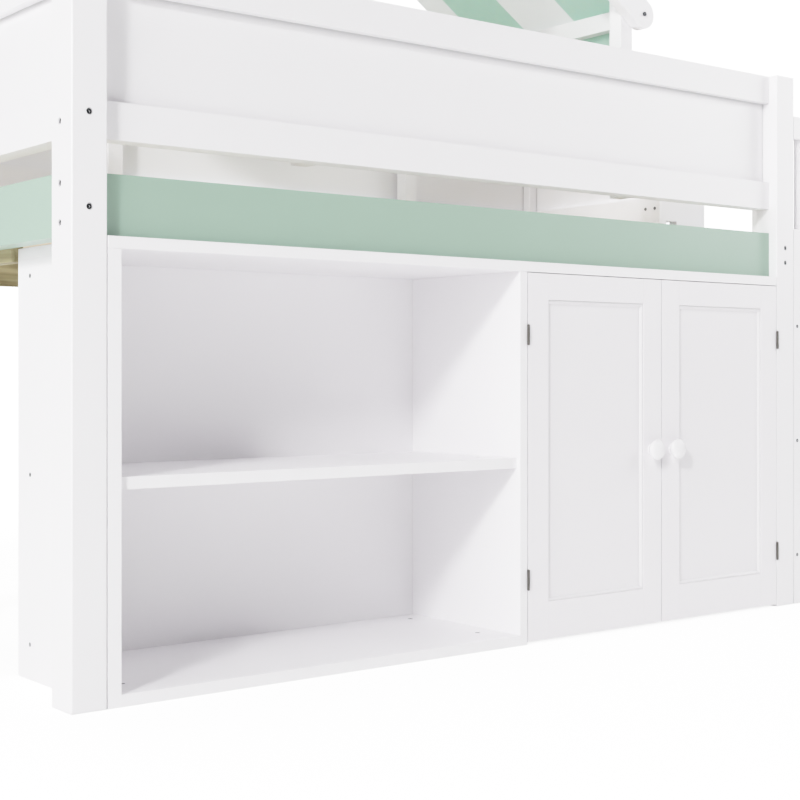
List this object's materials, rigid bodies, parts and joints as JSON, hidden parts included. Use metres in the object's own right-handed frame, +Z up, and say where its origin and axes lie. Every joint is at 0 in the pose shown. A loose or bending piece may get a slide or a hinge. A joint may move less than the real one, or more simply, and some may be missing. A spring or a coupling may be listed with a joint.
{
  "type": "loft bed",
  "caption": "Half-height loft bed with panelled guards, an open shelf bay and a cupboard between the front posts, a ladder at one end and a gabled roof frame with a striped cloth.",
  "frame": {"origin": "middle of the outline's underside, on the floor", "axes": "+X along the bed towards the ladder end, +Y from the cupboard front to the rear, +Z up"},
  "size_m": [2.258, 1.094, 1.9413],
  "materials": {
    "white_paint": "satin white lacquer",
    "mint_paint": "satin mint lacquer",
    "pine": "bare sanded pine",
    "zinc_steel": "zinc-plated steel",
    "hinge_steel": "dark nickel-plated steel",
    "catch_plastic": "moulded dark plastic",
    "canvas": "plain-woven cotton with mint and white stripes"
  },
  "bodies": {
    "frame": {"post_front_left": "white_paint", "post_front_right": "white_paint", "post_rear_left": "white_paint", "post_rear_right": "white_paint", "side_rail_front": "mint_paint", "side_rail_rear": "mint_paint", "end_rail_left": "mint_paint", "end_rail_right": "mint_paint", "ledge_front": "pine", "ledge_rear": "pine", "end_ledges": "pine", "slats": "pine", "guard_front_top_rail": "white_paint", "guard_front_bottom_rail": "white_paint", "guard_front_panel": "white_paint", "guard_rear_top_rail": "white_paint", "guard_rear_bottom_rail": "white_paint", "guard_rear_panel": "white_paint", "guard_left_top_rail": "white_paint", "guard_left_bottom_rail": "white_paint", "guard_left_panel": "white_paint", "guard_right_top_rail": "white_paint", "guard_right_bottom_rail": "white_paint", "guard_right_panel": "white_paint", "entry_upright": "white_paint", "frame_bolts": "zinc_steel", "barrel_nuts": "zinc_steel", "ladder_stile_front": "white_paint", "ladder_stile_rear": "white_paint", "ladder_treads": "white_paint", "ladder_brackets": "zinc_steel", "cabinet_top": "white_paint", "cabinet_bottom": "white_paint", "cabinet_side_left": "white_paint", "cabinet_side_right": "white_paint", "cabinet_divider": "white_paint", "cabinet_back": "white_paint", "bay_shelf": "white_paint", "cupboard_shelf": "white_paint", "shelf_pins": "zinc_steel", "cam_locks": "zinc_steel", "corner_brackets": "zinc_steel", "door_catches": "catch_plastic", "hinge_leaves": "hinge_steel", "hinge_pins": "hinge_steel", "roof_uprights": "white_paint", "rafters": "white_paint", "ridge_pole": "white_paint", "eave_bars": "white_paint", "canopy_cloth": "canvas"},
    "door_left": {"door_left_stiles": "white_paint", "door_left_rails": "white_paint", "door_left_panel": "white_paint", "door_left_knob": "white_paint", "door_left_fittings": "hinge_steel"},
    "door_right": {"door_right_stiles": "white_paint", "door_right_rails": "white_paint", "door_right_panel": "white_paint", "door_right_knob": "white_paint", "door_right_fittings": "hinge_steel"}
  },
  "joints": [
    {"name": "door_left_hinge", "type": "hinge", "parent": "frame", "child": "door_left", "pos_m": [0.0236, -0.516, 0.4361], "axis": [0, 0, -1], "range_deg": [0, 110]},
    {"name": "door_right_hinge", "type": "hinge", "parent": "frame", "child": "door_right", "pos_m": [0.9434, -0.516, 0.4361], "axis": [0, 0, 1], "range_deg": [0, 110]}
  ]
}
